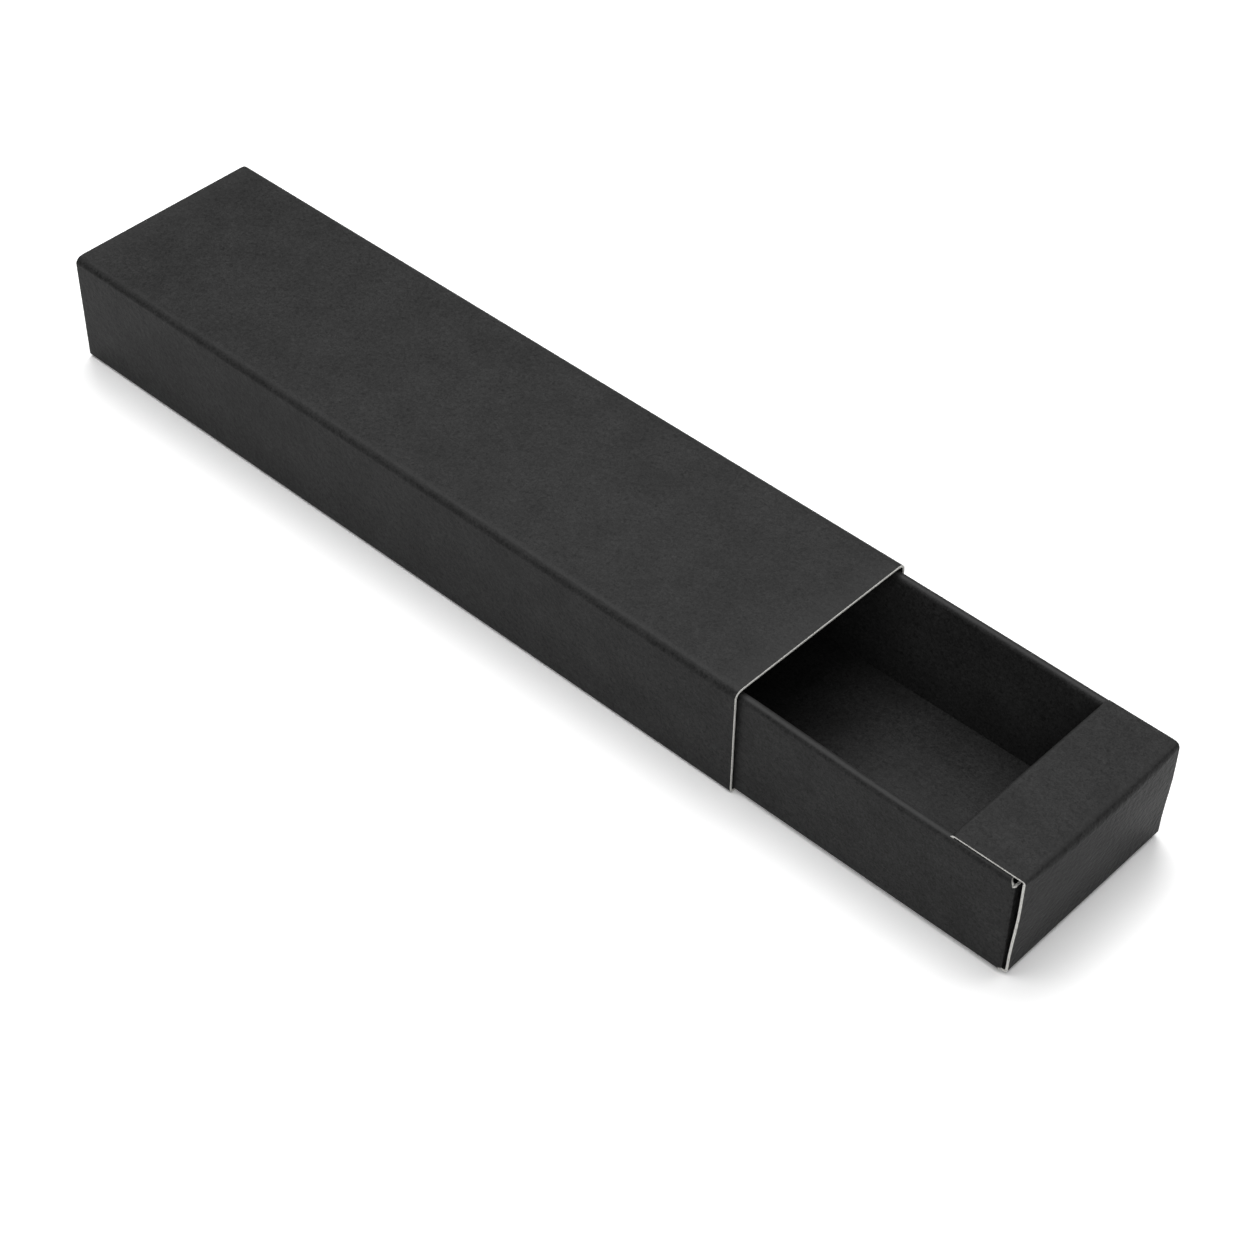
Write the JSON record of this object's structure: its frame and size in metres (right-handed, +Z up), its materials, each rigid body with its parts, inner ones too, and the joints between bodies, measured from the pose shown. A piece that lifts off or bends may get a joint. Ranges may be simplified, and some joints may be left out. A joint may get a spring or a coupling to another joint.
{
  "type": "sliding drawer gift box",
  "caption": "Long, low gift box: an open-ended folded board sleeve with a sliding folded board tray that has doubled long walls and a hollow ledge at each end.",
  "frame": {"origin": "the middle of the sleeve's underside, on the surface that the box stands on", "axes": "+X along the sleeve, towards the mouth that the tray is pulled out of; +Y across, towards the wall with the glued seam; +Z up"},
  "size_m": [0.2345, 0.0452, 0.0247],
  "materials": {
    "black_board": "matte",
    "dried_glue": "satin"
  },
  "bodies": {
    "sleeve": {"sleeve": "black_board", "sleeve_seam_glue": "dried_glue"},
    "drawer": {"tray": "black_board", "tray_inner_end_glue": "dried_glue", "tray_outer_end_glue": "dried_glue"}
  },
  "joints": [
    {"name": "drawer_slide", "type": "slide", "parent": "sleeve", "child": "drawer", "axis": [1, 0, 0], "range_m": [-0.06, 0.116]}
  ]
}
